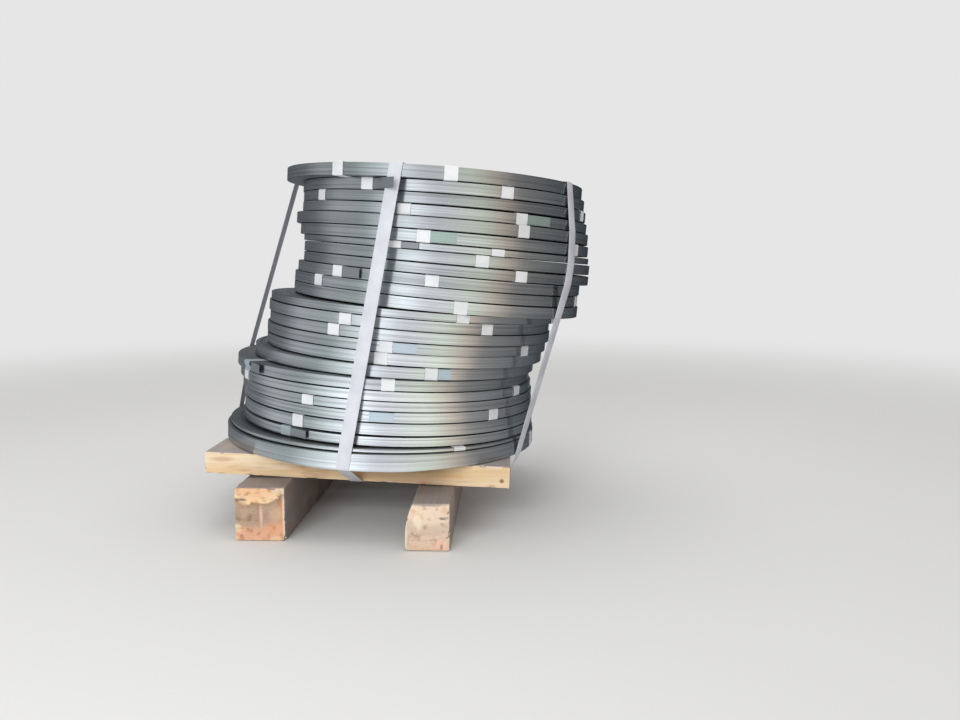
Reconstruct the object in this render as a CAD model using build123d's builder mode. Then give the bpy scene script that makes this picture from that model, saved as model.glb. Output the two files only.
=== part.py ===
from build123d import *
from math import acos, atan2, ceil, cos, degrees, radians, sin, sqrt, tan
from typing import NamedTuple
import os

# A stack of slit steel coils, eye upright, strapped to a timber skid that slopes to the right.
# Millimetres. +X is the viewer's right, +Y points away from the viewer, +Z is up, and the floor is Z = 0.

# Clearances between pieces that rest on each other
flat_seat = 0.1
round_seat = 0.3

# Steel strapping, used for the load straps and for the bands of each coil
strap_width = 30.0
strap_thickness = 0.8

# Every coil has the same bore
bore_diameter = 508.0

# Timber of the skid
plank_length = 718.0
plank_width = 150.0
plank_thickness = 52.0
plank_gap = 14.0
plank_count = 4
plank_edge = 2.0
deck_behind_coils = 15.0

bearer_length = 850.0
left_bearer_width = 116.0
left_bearer_height = 124.0
left_bearer_right_side = -149.0
left_bearer_front = -389.0
left_bearer_edge = 3.0
right_bearer_width = 100.0
right_bearer_height = 107.5
right_bearer_right_side = 227.0
right_bearer_front = -441.0
right_bearer_edge = 9.0
right_bearer_wane_width = 18.0
right_bearer_wane_height = 70.0
right_bearer_wane_radius = 160.0

# Crimped sleeves that close the load straps
seal_length = 44.0
seal_plate = 1.0
seal_from_rim = 175.0
seal_notch_radius = 2.5
seal_notch_depth = 0.7
seal_notch_pitch = 18.0

# The bands of this many coils, one above another, are one group
coils_per_band_group = 3

# Half the length over which the load straps are lifted to cross one another
crossing_half = 50.0

# Where a load strap twists between two folds, it has a section for every step of this many degrees
strap_twist_step = 0.4


class Coil(NamedTuple):
    """One slit coil: strip width, outside diameter, sideways place, lean over the deck and band places."""

    strip: float
    diameter: float
    middle_x: float
    lean: float
    bands: tuple


# From the bottom of the stack to its top. Lean is in degrees, down to the right, beyond the deck's own.
# Bands are angles about the coil, where 0 is the right, -90 is the front and 90 is the back.
coils = [
    Coil(36.0, 804.0, 15.0, 0.04, (-11, 66, 152)),
    Coil(7.5, 795.0, 20.0, 0.34, (-56, 58, 158)),
    Coil(21.0, 758.0, 35.0, 0.74, (-121, -1, 119)),
    Coil(27.0, 755.0, 37.0, 0.99, (-116, 4, 124)),
    Coil(24.0, 751.0, 38.0, 1.14, (-42, 78, -162)),
    Coil(21.5, 757.0, 35.0, 1.29, (-111, 9, 129)),
    Coil(22.0, 760.0, 31.0, 1.44, (-26, 94, -146)),
    Coil(24.0, 763.0, 26.0, 1.64, (-81, 99, -141)),
    Coil(26.5, 729.0, 54.0, 1.99, (-70, 50, 170)),
    Coil(27.0, 719.0, 80.0, 2.19, (-92, 28, 148)),
    Coil(24.0, 728.0, 86.0, 2.34, (-91, -33, 118)),
    Coil(25.0, 731.0, 95.0, 2.44, (-112, 8, 128)),
    Coil(24.5, 731.0, 94.0, 2.54, (-107, -55, 99)),
    Coil(17.5, 743.0, 106.0, 2.69, (-67, -16, 139)),
    Coil(27.0, 739.0, 163.0, 3.09, (-77, 43, 163)),
    Coil(24.5, 736.0, 164.0, 2.99, (-14, 106, -134)),
    Coil(24.5, 732.0, 171.0, 2.89, (-125, -88, 73)),
    Coil(23.0, 739.0, 190.0, 2.74, (-59, 61, -179)),
    Coil(24.5, 739.0, 192.0, 2.54, (-74, 46, 166)),
    Coil(14.5, 737.0, 191.0, 2.44, (-104, -68, 94)),
    Coil(26.0, 743.0, 186.0, 2.19, (-93, -29, 119)),
    Coil(26.5, 751.0, 181.0, 1.99, (-57, 63, -177)),
    Coil(23.5, 731.0, 187.0, 1.94, (-100, -58, 101)),
    Coil(23.5, 725.0, 187.0, 1.59, (-18, 102, -138)),
    Coil(25.5, 721.0, 185.0, 1.34, (-114, -63, 92)),
    Coil(29.0, 755.0, 162.0, 1.24, (-120, -80, 56)),
]


class LoadStrap(NamedTuple):
    """One load strap: its name, and on each of its two sides the coils that guide it,
    counted from the bottom, with the angle at which it lies on them."""

    name: str
    near_side: tuple
    far_side: tuple


# The second strap was put on last, so it crosses over the first on top and below.
load_straps = [
    LoadStrap("side_to_side", ((26, -28.5), (18, -35.8), (1, -26.0)), ((26, 171.0), (1, 175.5))),
    LoadStrap("front_to_back", ((26, -98.0), (1, -94.2)), ((26, 82.0), (1, 85.5))),
]

bore_radius = bore_diameter / 2
band_reach = strap_thickness + flat_seat
deck_lift = strap_thickness + 2 * flat_seat
deck_depth = plank_count * plank_width + (plank_count - 1) * plank_gap
bearer_fall = left_bearer_height - right_bearer_height


def resting_edges():
    """The places along X of the bearers' edges that the deck rests on, left and right."""
    if bearer_fall >= 0:
        return left_bearer_right_side, right_bearer_right_side
    right_edge = right_bearer_right_side - right_bearer_width + right_bearer_wane_width
    return left_bearer_right_side - left_bearer_width, right_edge


left_rest, right_rest = resting_edges()
deck_lean = degrees(atan2(bearer_fall, right_rest - left_rest))


def leaning_plane(x, y, z, lean):
    """A plane at a point, sloping down to the right by lean."""
    along = Vector(cos(radians(lean)), 0, -sin(radians(lean)))
    up = Vector(sin(radians(lean)), 0, cos(radians(lean)))
    return Plane(origin=(x, y, z), x_dir=along, z_dir=up)


def deck_height(x):
    """Height of the deck's top over a point of its middle line."""
    fall = tan(radians(deck_lean)) * (x - left_rest)
    return left_bearer_height + deck_lift + plank_thickness / cos(radians(deck_lean)) - fall


def bands_meet(lower, lower_angle, upper, upper_angle):
    """Whether a band of one coil lies over a band of the coil below it."""
    if cos(radians(upper_angle - lower_angle)) < 0:
        return False
    clear = strap_width + 2 * round_seat
    beside = []
    for radius in (bore_radius, lower.diameter / 2):
        x = upper.middle_x - lower.middle_x + radius * cos(radians(upper_angle))
        y = radius * sin(radians(upper_angle))
        beside.append(y * cos(radians(lower_angle)) - x * sin(radians(lower_angle)))
    return min(beside) < clear and max(beside) > -clear


def resting_places(lower, upper):
    """The places where a coil can rest on what lies under it, each with the gap that stays open there.

    A place is a distance to the right of the deck's middle. A gap holds one band,
    or two where a band of the upper coil lies over a band of the lower one.
    """
    left = max(coil.middle_x - coil.diameter / 2 for coil in (lower, upper))
    right = min(coil.middle_x + coil.diameter / 2 for coil in (lower, upper))
    places = [(left, flat_seat), (right, flat_seat)]
    meeting = [(a, b) for a in lower.bands for b in upper.bands if bands_meet(lower, a, upper, b)]
    for coil, met in ((lower, [a for a, _ in meeting]), (upper, [b for _, b in meeting])):
        for angle in coil.bands:
            gap = band_reach * (2 if angle in met else 1) + flat_seat
            for radius in (bore_radius, coil.diameter / 2):
                for half in (-strap_width / 2, strap_width / 2):
                    x = coil.middle_x + radius * cos(radians(angle)) + half * sin(radians(angle))
                    places.append((min(max(x, left), right), gap))
    return places


def coil_planes():
    """The plane of each coil's lower end, each coil let down until it rests on what lies under it."""
    planes = []
    lower = Coil(plank_thickness, plank_length, 0.0, 0.0, ())
    top = Vector(0, 0, deck_height(0.0))
    for coil in coils:
        slope_below = -tan(radians(deck_lean + lower.lean))
        slope = -tan(radians(deck_lean + coil.lean))
        heights = []
        for x, gap in resting_places(lower, coil):
            heights.append(top.Z + slope_below * (x - top.X) + gap - slope * (x - coil.middle_x))
        plane = leaning_plane(coil.middle_x, 0, max(heights), deck_lean + coil.lean)
        planes.append(plane)
        top = plane.origin + plane.z_dir * coil.strip
        lower = coil
    return planes


def make_coil(coil, plane, label):
    """The turned ring of one slit coil."""
    with BuildPart() as ring:
        with BuildSketch(plane):
            Circle(coil.diameter / 2)
            Circle(bore_radius, mode=Mode.SUBTRACT)
        extrude(amount=coil.strip)
    ring.part.label = label
    return ring.part


def spoke(plane, angle):
    """The outward direction at an angle about a coil."""
    return plane.x_dir * cos(radians(angle)) + plane.y_dir * sin(radians(angle))


def band_plane(plane, angle):
    """The plane across a coil's section at an angle, with its X outward and its Y along the coil's axis."""
    outward = spoke(plane, angle)
    return Plane(origin=plane.origin, x_dir=outward, z_dir=outward.cross(plane.z_dir))


def make_bands(first, last, planes, label):
    """The bands of a run of coils, each a flat closed loop round one coil's section."""
    inner_face = sqrt(bore_radius**2 - (strap_width / 2) ** 2) - round_seat
    with BuildPart() as bands:
        for index in range(first, last):
            coil = coils[index]
            outer_face = coil.diameter / 2 + round_seat
            length = outer_face - inner_face
            height = coil.strip + 2 * flat_seat
            middle = ((outer_face + inner_face) / 2, coil.strip / 2)
            for angle in coil.bands:
                with BuildSketch(band_plane(planes[index], angle)):
                    with Locations(middle):
                        Rectangle(length + 2 * strap_thickness, height + 2 * strap_thickness)
                        Rectangle(length, height, mode=Mode.SUBTRACT)
                extrude(amount=strap_width / 2, both=True)
    bands.part.label = label
    return bands.part


class Station(NamedTuple):
    """A place where a load strap bends: the middle of its inner face, and the line it folds along."""

    point: Vector
    fold: Vector


def rim_centre(index, upper, planes):
    """The middle of the upper or lower rim of a coil."""
    return planes[index].origin + planes[index].z_dir * (coils[index].strip if upper else 0.0)


def guide_point(guide, upper, planes):
    """Where a strap lies on the rim of a coil that guides it."""
    number, angle = guide
    index = number - 1
    return rim_centre(index, upper, planes) + spoke(planes[index], angle) * (coils[index].diameter / 2)


def side_directions(strap, planes):
    """The level direction from a strap's far side to its near side, and the one beside it."""
    across = guide_point(strap.near_side[0], True, planes) - guide_point(strap.far_side[0], True, planes)
    outward = Vector(across.X, across.Y, 0).normalized()
    return outward, Vector(0, 0, 1).cross(outward)


def sideways_place(height, guides, beside, planes):
    """How far to the side a strap runs at a height, straight between the coils that guide it."""
    places = [guide_point(guides[0], True, planes)]
    places += [guide_point(guide, False, planes) for guide in guides[1:]]
    for upper, lower in zip(places, places[1:]):
        if height >= lower.Z:
            share = min((height - lower.Z) / (upper.Z - lower.Z), 1.0)
            return lower.dot(beside) + share * (upper.dot(beside) - lower.dot(beside))
    return places[-1].dot(beside)


def near_a_band(coil, angle):
    """Whether a strap at an angle would lie on one of a coil's bands."""
    clear = degrees(2.6 * strap_width / coil.diameter)
    return any(abs((angle - band + 180) % 360 - 180) < clear for band in coil.bands)


def rim_station(index, upper, outward, beside, guides, planes):
    """Where a strap on one side of the stack would lie on a coil's rim."""
    coil = coils[index]
    plane = planes[index]
    radius = coil.diameter / 2
    centre = rim_centre(index, upper, planes)
    a = radius * plane.x_dir.dot(beside)
    b = radius * plane.y_dir.dot(beside)
    place = sideways_place(centre.Z, guides, beside, planes) - centre.dot(beside)
    half = degrees(acos(max(-1.0, min(1.0, place / sqrt(a * a + b * b)))))
    turns = [degrees(atan2(b, a)) + half, degrees(atan2(b, a)) - half]
    angle = max(turns, key=lambda turn: spoke(plane, turn).dot(outward))
    stand_off = band_reach + 3 * round_seat if near_a_band(coil, angle) else round_seat
    rise = flat_seat if upper else -flat_seat
    if upper and index == len(coils) - 1:
        rise = band_reach + flat_seat
    point = centre + spoke(plane, angle) * (radius + stand_off) + plane.z_dir * rise
    return Station(point, spoke(plane, angle + 90))


def deck_stations(outward, beside, guides, planes, deck):
    """Where a strap on one side of the stack would lie on the edges of the deck."""
    place = guide_point(guides[-1], False, planes).dot(beside)
    ends = [(deck.x_dir, plank_length / 2, deck.y_dir), (deck.y_dir, deck_depth / 2, deck.x_dir)]
    stations = []
    for rise in (flat_seat, -plank_thickness - flat_seat):
        corner = deck.origin + deck.z_dir * rise
        reaches = []
        for across, half, along in ends:
            side = 1 if across.dot(outward) > 0 else -1
            face = corner + across * (side * (half + flat_seat))
            slide = (place - face.dot(beside)) / along.dot(beside)
            reaches.append(Station(face + along * slide, along))
        stations.append(min(reaches, key=lambda reach: reach.point.dot(outward)))
    return stations


def side_stations(near, strap, planes, deck):
    """The places where a strap bends on one side of the stack, from its top to the deck's underside."""
    outward, beside = side_directions(strap, planes)
    guides = strap.near_side if near else strap.far_side
    if not near:
        outward = outward * -1
    stations = []
    for index in reversed(range(len(coils))):
        for upper in (True, False):
            stations.append(rim_station(index, upper, outward, beside, guides, planes))
    stations += deck_stations(outward, beside, guides, planes, deck)
    kept = []
    for station in stations:
        u, v = station.point.dot(outward), station.point.Z
        while len(kept) > 1:
            (u1, v1), (u2, v2) = [(old.point.dot(outward), old.point.Z) for old in kept[-2:]]
            if (u2 - u1) * (v - v1) - (v2 - v1) * (u - u1) < 0:
                break
            kept.pop()
        kept.append(station)
    return kept


def crossing_stations(start, end, other_start, other_end, lift):
    """Two places where a strap is lifted over another, on either side of where they cross."""
    run = (end - start).normalized()
    other = other_end - other_start
    level = Vector(-other.Y, other.X, 0)
    middle = start + run * ((other_start - start).dot(level) / run.dot(level))
    fold = lift.cross(run).normalized()
    half = run * crossing_half
    return [Station(middle + lift - half, fold), Station(middle + lift + half, fold)]


def strap_stations(strap, planes, deck, first_stations=None):
    """All the places where a load strap bends, up its near side, over the top, down and under the deck.

    The strap that is put on last is lifted over the first one, whose stations are given.
    """
    near = side_stations(True, strap, planes, deck)
    far = side_stations(False, strap, planes, deck)
    over = []
    under = []
    if first_stations is not None:
        step = strap_thickness + flat_seat
        first_near, first_far = first_stations
        over = crossing_stations(
            near[0].point, far[0].point, first_near[0].point, first_far[0].point, planes[-1].z_dir * step
        )
        under = crossing_stations(
            far[-1].point, near[-1].point, first_far[-1].point, first_near[-1].point, deck.z_dir * -step
        )
    return near[::-1] + over + far + under, (near, far)


def bend_planes(stations, beside):
    """For each station, the plane of the strap's section there and the section's width and height."""
    bends = []
    count = len(stations)
    for index, station in enumerate(stations):
        before = (station.point - stations[index - 1].point).normalized()
        after = (stations[(index + 1) % count].point - station.point).normalized()
        fold = station.fold if station.fold.dot(beside) > 0 else station.fold * -1
        width = strap_width / max(fold.cross(before).length, fold.cross(after).length)
        normals = [fold.cross(before).normalized(), fold.cross(after).normalized()]
        mitre = (normals[0] + normals[1]) * (1 / (1 + normals[0].dot(normals[1])))
        height = strap_thickness * mitre.length
        section = Plane(origin=station.point, x_dir=fold, z_dir=fold.cross(mitre))
        bends.append((section, width, height))
    return bends


def twist_sections(start, end):
    """The sections of a strap between two folds, each twisted a step on from the one before.

    Without them the strap's two faces would not stay a thickness apart between the folds.
    """
    run = end.origin - start.origin
    along = run.normalized()
    turn = start.x_dir.cross(along).get_angle(end.x_dir.cross(along))
    count = ceil(turn / strap_twist_step)
    sections = []
    for step in range(1, count):
        share = step / count
        fold = (start.x_dir * (1 - share) + end.x_dir * share).normalized()
        outward = fold.cross(along)
        section = Plane(origin=start.origin + run * share, x_dir=fold, z_dir=fold.cross(outward))
        sections.append((section, strap_width / outward.length, strap_thickness))
    return sections


def make_load_strap(stations, beside, label):
    """A flat steel strap drawn tight round the stack and its deck, folded at each station."""
    bends = bend_planes(stations, beside)
    with BuildPart() as band:
        for start, end in zip(bends, bends[1:] + bends[:1]):
            for section, width, height in (start, *twist_sections(start[0], end[0]), end):
                with BuildSketch(section):
                    Rectangle(width, height, align=(Align.CENTER, Align.MIN))
            loft(ruled=True)
    band.part.label = label
    return band.part


def seal_plane(near, after):
    """The plane across a strap's run over the eye, in the middle of the strap's thickness."""
    run = (after.point - near.point).normalized()
    outward = near.fold.cross(run).normalized()
    if outward.Z < 0:
        outward = outward * -1
    middle = near.point + run * seal_from_rim + outward * (strap_thickness / 2)
    return Plane(origin=middle, x_dir=outward.cross(run), z_dir=run)


def make_seal(cross, label):
    """A crimped sleeve round a load strap, with notches along both its edges."""
    hole_width = strap_width + 2 * flat_seat
    hole_height = strap_thickness + 2 * flat_seat
    flat = Plane(origin=cross.origin, x_dir=cross.x_dir, z_dir=cross.y_dir)
    edge = hole_width / 2 + seal_plate + seal_notch_radius - seal_notch_depth
    with BuildPart() as seal:
        with BuildSketch(cross):
            Rectangle(hole_width + 2 * seal_plate, hole_height + 2 * seal_plate)
            Rectangle(hole_width, hole_height, mode=Mode.SUBTRACT)
        extrude(amount=seal_length / 2, both=True)
        with BuildSketch(flat):
            with GridLocations(2 * edge, seal_notch_pitch, 2, 2):
                Circle(seal_notch_radius)
        extrude(amount=hole_height + seal_plate, both=True, mode=Mode.SUBTRACT)
    seal.part.label = label
    return seal.part


def make_plank(index, deck, label):
    """One deck plank, its long edges taken off."""
    y = (index - (plank_count - 1) / 2) * (plank_width + plank_gap)
    with BuildPart() as plank:
        with BuildSketch(deck):
            with Locations((0, y)):
                Rectangle(plank_length, plank_width)
        extrude(amount=-plank_thickness)
        along = Axis(deck.origin, deck.x_dir)
        chamfer(plank.edges().filter_by(along), plank_edge)
    plank.part.label = label
    return plank.part


def make_left_bearer(label):
    """The taller bearer, a square sawn timber."""
    middle_x = left_bearer_right_side - left_bearer_width / 2
    middle_y = left_bearer_front + bearer_length / 2
    with BuildPart() as bearer:
        with BuildSketch(Plane.XY):
            with Locations((middle_x, middle_y)):
                Rectangle(left_bearer_width, bearer_length)
        extrude(amount=left_bearer_height)
        chamfer(bearer.edges().filter_by(Axis.Y), left_bearer_edge)
    bearer.part.label = label
    return bearer.part


def make_right_bearer(label):
    """The lower bearer, worn round at its lower edges and waney at its upper left."""
    left = right_bearer_right_side - right_bearer_width
    right = right_bearer_right_side
    shoulder = right_bearer_height - right_bearer_wane_height
    wane_end = (left + right_bearer_wane_width, right_bearer_height)
    with BuildPart() as bearer:
        with BuildSketch(Plane.XZ.offset(-right_bearer_front)):
            with BuildLine():
                Polyline((left, shoulder), (left, 0), (right, 0), (right, right_bearer_height), wane_end)
                RadiusArc(wane_end, (left, shoulder), -right_bearer_wane_radius)
            make_face()
        extrude(amount=-bearer_length)
        lower_edges = bearer.edges().filter_by(Axis.Y).group_by(Axis.Z)[0]
        fillet(lower_edges, right_bearer_edge)
    bearer.part.label = label
    return bearer.part


def make_pieces():
    """Every piece of the load, in the deck's own frame."""
    planes = coil_planes()
    deck = leaning_plane(0, deck_behind_coils, deck_height(0), deck_lean)
    pieces = [make_left_bearer("left_bearer"), make_right_bearer("right_bearer")]
    for index in range(plank_count):
        pieces.append(make_plank(index, deck, f"deck_plank_{index + 1}"))
    for index, (coil, plane) in enumerate(zip(coils, planes)):
        pieces.append(make_coil(coil, plane, f"coil_{index + 1:02d}"))
    for first in range(0, len(coils), coils_per_band_group):
        last = min(first + coils_per_band_group, len(coils))
        pieces.append(make_bands(first, last, planes, f"bands_of_coils_{first + 1:02d}_to_{last:02d}"))
    sides = None
    for strap in load_straps:
        stations, sides = strap_stations(strap, planes, deck, sides)
        beside = side_directions(strap, planes)[1]
        near = sides[0]
        after = stations[len(near)]
        pieces.append(make_load_strap(stations, beside, f"{strap.name}_load_strap"))
        pieces.append(make_seal(seal_plane(near[0], after), f"{strap.name}_strap_seal"))
    return pieces


def stand_on_middle(pieces):
    """Move every piece so that the origin is on the floor, below the middle of the whole load."""
    boxes = [piece.bounding_box() for piece in pieces]
    middle_x = (min(box.min.X for box in boxes) + max(box.max.X for box in boxes)) / 2
    middle_y = (min(box.min.Y for box in boxes) + max(box.max.Y for box in boxes)) / 2
    for piece in pieces:
        piece.move(Location((-middle_x, -middle_y, 0)))


def main():
    os.makedirs("parts", exist_ok=True)
    pieces = make_pieces()
    stand_on_middle(pieces)
    for piece in pieces:
        export_step(piece, f"parts/{piece.label}.step")


main()
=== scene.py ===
"""A strapped stack of slit steel coils on a timber skid, dressed and lit for a studio picture.

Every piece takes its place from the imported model, in metres and in the model's own frame.
"""
import math

import bpy
import numpy as np
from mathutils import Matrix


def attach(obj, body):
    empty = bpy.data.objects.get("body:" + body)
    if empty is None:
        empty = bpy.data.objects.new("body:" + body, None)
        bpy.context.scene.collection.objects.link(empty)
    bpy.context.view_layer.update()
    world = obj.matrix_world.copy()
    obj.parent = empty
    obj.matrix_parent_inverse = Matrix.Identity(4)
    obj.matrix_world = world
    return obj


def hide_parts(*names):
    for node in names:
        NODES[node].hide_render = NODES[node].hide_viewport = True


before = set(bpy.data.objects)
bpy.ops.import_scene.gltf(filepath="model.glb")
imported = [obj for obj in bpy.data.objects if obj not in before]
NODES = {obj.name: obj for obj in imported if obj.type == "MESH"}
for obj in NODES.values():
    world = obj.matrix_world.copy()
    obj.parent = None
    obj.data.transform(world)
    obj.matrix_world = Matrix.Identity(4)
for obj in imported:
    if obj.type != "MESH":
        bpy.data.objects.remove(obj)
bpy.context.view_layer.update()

bl_info = {
    "name": "Slit coil load",
    "version": (1, 0, 0),
    "blender": (4, 5, 0),
    "location": "View3D > Sidebar > Coil load",
    "description": "Dresses a strapped load of slit steel coils and sets it in a soft studio",
    "category": "Object",
}

BANDS_PREFIX = "bands_of_coils_"
COIL_NAMES = sorted(name for name in NODES if name.startswith("coil_"))
BAND_NAMES = sorted(name for name in NODES if name.startswith(BANDS_PREFIX))
STRAP_NAMES = sorted(name for name in NODES if name.endswith("_load_strap"))
SEAL_NAMES = sorted(name for name in NODES if name.endswith("_strap_seal"))
PLANK_NAMES = sorted(name for name in NODES if name.startswith("deck_plank_"))
BEARER_NAMES = ("left_bearer", "right_bearer")
MM = 0.001

# How the coils are drawn: the points round each one, and the ridges of turns on each end, of which the top
# coil has more, since its end is seen. The outer turns stand back together. The ridges begin inside them,
# with a crack on either side of each, and leave a lip at the bore.
COIL_STEPS = 144
END_RIDGES = 14
TOP_COIL_RIDGES = 40
OUTER_TURNS = 4.2 * MM
RIDGES_BEGIN = 4.5 * MM
RIDGE_CRACK = 0.25 * MM
BORE_LIP = 1.0 * MM

# Past the deck's front edge the lowest coil's rim begins to sag. It is down in full at the end of the reach.
SAG_BEGINS = 12 * MM
SAG_REACH = 70 * MM

# Each kind of piece draws its random shapes from its own seeds.
COIL_SEED = 100
PLANK_SEED = 300
BEARER_SEED = 400

# Edges that turn by more than this, in degrees, are drawn sharp.
SHARP_ANGLE = 40

# The strapping of the coils' bands
STRAPPING_WIDTH = 30 * MM

# Where the strip's outer end shows: the coil, the angle its free end starts from, its length, how far it
# springs away and by which power of the run, and the tone of the reflection painted on it. The end of coil
# 25 shows over the front strap.
# Every other coil has its outer end at the back, just past its rearmost band.
SEEN_TAILS = {
    "coil_03": (-119.0, 50 * MM, 6.0 * MM, 2, "dull"),
    "coil_05": (-89.4, 56 * MM, 1.6 * MM, 2, "pale"),
    "coil_08": (-140.5, 64 * MM, 6.5 * MM, 2, "dull"),
    "coil_09": (-67.5, 30 * MM, 1.6 * MM, 2, "bluish"),
    "coil_11": (-88.5, 54 * MM, 1.8 * MM, 2, "pale"),
    "coil_17": (-122.5, 52 * MM, 4.5 * MM, 2, "dull"),
    "coil_20": (-101.5, 39 * MM, 2.5 * MM, 2, "dull"),
    "coil_21": (-90.5, 56 * MM, 2.0 * MM, 2, "greenish"),
    "coil_23": (-55.5, 65 * MM, 2.0 * MM, 2, "greenish"),
    "coil_25": (-111.5, 66 * MM, 47.5 * MM, 1.2, "dull"),
}
HIDDEN_TAIL = (50 * MM, 2.4 * MM, 2, "plain")

# How many degrees past its band a hidden end begins, how far every loose end stands off its coil, and how
# much it is drawn in from the coil's edges
DEGREES_PAST_BAND = 2.5
TAIL_GAP = 0.15 * MM
TAIL_MARGIN = 1.2 * MM

# Painted reflections: flat tones for what each loose end mirrors, as it springs off its coil at its own
# angle
TAIL_REFLECTION_TONES = {"dull": "#93979a", "pale": "#bcc9d1", "bluish": "#b4c4ce", "greenish": "#a6b8b0"}

# Bands painted darker as shade and dark reflection, by coil: the angle of the band and how much it is
# crumpled. A band within a few degrees of the angle is the one, and it is crumpled up to a reach from its
# outer fold, in waves.
SHADE_PAINTED_BANDS = {"coil_03": (-122.0, 0.0), "coil_08": (-141.0, 4 * MM)}
SHADE_PAINTED_WITHIN = 5
CRUMPLED_REACH = 30 * MM
CRUMPLE_WAVE = 14 * MM

# Cracks, chips and splits in the timber's front faces, in mm and degrees: x, z, length, width, slope, depth
WOUNDS = {
    "left_bearer": (
        (-338, 95, 30, 5, -3, 6),
        (-351, 115, 16, 9, 90, 5),
        (-343, 26, 22, 9, 20, 5),
        (-247, 100, 46, 4, 84, 3),
    ),
    "right_bearer": (
        (138, 86, 8, 7, 0, 6),
        (127, 74, 26, 4, 2, 5),
        (121, 9, 14, 4, 90, 5),
        (134, 30, 8, 4, 10, 4),
        (75, 22, 60, 4, -3, 1.5),
        (80, 34, 50, 4, -2, 1.2),
    ),
    "deck_plank_1": (
        (258, 152, 26, 5, -3, 5),
        (251, 121, 8, 7, 0, 3),
        (-390, 176, 60, 5, -2, 2),
        (120, 158, 50, 5, -4, 2),
    ),
}

# The woods. The pith is the middle of the growth rings. Zones are colours at distances from it in mm. Rings
# are where fine rings begin and how wide they are, in mm, and how dark. Spots are stains, knots, pale edges
# and painted shade on a front face: x, z and half sizes in mm, a colour and how much of the wood it covers.
WOODS = {
    "deck_planks": {
        "pith": (0, -0.25, 0.02),
        "zones": ((90, "#ecd0a4"), (115, "#f1d8b2"), (140, "#e8c799"), (165, "#f2dcba"), (190, "#ebcfa6")),
        "rings": (0, 11, 0.1),
        "spots": (
            (251, 121, 5, 5, "#94683c", 0.9),
            (227, 107, 10, 5, "#a58a62", 0.6),
            # A brown stain and painted contact shade, where the lowest coil sits on the deck
            (130, 166, 34, 9, "#8d6f52", 0.6),
            # Painted shade: the shadow under the lowest coil's overhang, painted brown on the deck's front
            (30, 134, 120, 24, "#a9825a", 0.5),
            (-405, 168, 30, 7, "#b98f63", 0.5),
            (-300, 150, 60, 8, "#f7e6c8", 0.5),
            (240, 156, 26, 4, "#f6e4dc", 0.6),
        ),
    },
    "left_bearer": {
        "pith": (-0.305, 0, 0.173),
        "zones": (
            (70, "#efc096"),
            (80, "#f0cba0"),
            (90, "#f2d2a6"),
            (94, "#a5866a"),
            (102, "#b89c86"),
            (120, "#b0957f"),
            (138, "#b99c86"),
            (150, "#e0ac8c"),
            (166, "#e4b090"),
            (178, "#efc9a2"),
        ),
        "rings": (40, 7, 0.12),
        "spots": (
            (-247, 66, 5, 30, "#d9905c", 0.7),
            (-262, 30, 24, 15, "#e6a97f", 0.6),
            (-256, 62, 18, 16, "#d9b795", 0.6),
            (-291, 58, 4, 28, "#e2bda8", 0.8),
            (-330, 70, 9, 26, "#c6a48c", 0.5),
            (-345, 30, 9, 9, "#f1e2bc", 0.8),
            (-294, 124, 60, 3, "#a08672", 0.7),
            (-247, 116, 14, 7, "#d9c6b6", 0.7),
            (-239, 56, 3, 60, "#f2dcc8", 0.8),
        ),
    },
    "right_bearer": {
        "pith": (0.095, 0, 0.17),
        "zones": (
            (63, "#e8cab4"),
            (85, "#edd7be"),
            (108, "#ebd3bc"),
            (118, "#dac3ad"),
            (133, "#dcc5b0"),
            (142, "#ecd0ba"),
            (170, "#ebcab0"),
        ),
        "rings": (128, 3.4, 0.6),
        "spots": (
            (92, 107, 46, 6, "#948a84", 0.9),
            (42, 46, 4, 60, "#e2dacd", 0.8),
            (70, 70, 10, 24, "#f8e8cc", 0.6),
            (122, 14, 14, 12, "#f3c9ae", 0.7),
            (128, 92, 8, 10, "#e3b79c", 0.6),
        ),
    },
}

# A wave texture of scale 1 repeats at this distance.
WAVE_PERIOD = 0.314

# The zinc's patterns are noise stretched along the strip: its cells in a metre along and across the strip,
# and its detail. Roll lines lie about 0.1 mm apart. They are drawn 1.5 mm apart and 400 mm long, to show.
# The strip waves along its length, 10 to 50 mm from crest to crest and some hundredths of a mm high.
ZINC_PATTERNS = {
    "roll_lines": ((2.5, 660, 1), 2.0),
    "streaks": ((1.6, 190, 1), 2.0),
    "stretches": ((0.7, 9, 1), 1.0),
    "clouds": ((9, 30, 1), 4.0),
    "waves": ((45, 4, 1), 1.0),
}

# Sizes of the ring of soft boxes and dark cards that the metal mirrors, and its tones, each with its
# direction in degrees, where 0 is the front and 90 the right. Low down the ring is brighter by one gain.
RING_RADIUS = 1.7
RING_HEIGHT = 3.0
SKIRT_RADIUS = 0.62
LOWER_TONES_TO = 0.12
UPPER_TONES_FROM = 0.42
LOWER_GAIN = 1.35
CARDS = (
    (-180, "#a0a4a8"),  # grey cloth behind
    (-150, "#404448"),  # dark card, left
    (-100, "#606468"),  # edge of the dark card
    (-80, "#909498"),  # grey card, left
    (-50, "#889090"),  # shade between card and box
    (-15, "#e8f0f4"),  # white soft box, front
    (0, "#c0c0c8"),  # cool cloth
    (30, "#c0c8bc"),  # pale green cloth
    (45, "#b0a498"),  # warm cloth
    (60, "#707070"),  # grey card, right
    (100, "#505458"),  # dark card, right
    (150, "#24282c"),  # darkest card, right and behind
    (180, "#a0a4a8"),  # grey cloth behind
)

# Each lamp's name, place, size, power in watts, colour, and whether gloss mirrors it. All aim at one point,
# in the middle of the load.
LAMPS = (
    ("key_softbox", (-0.9, -3.3, 1.5), (1.5, 1.5), 50, "#fbfdff", False),
    ("top_softbox", (0.0, 0.3, 3.2), (2.4, 2.4), 28, "#ffffff", True),
)
LAMP_AIM = (0.0, 0.0, 0.45)

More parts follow.
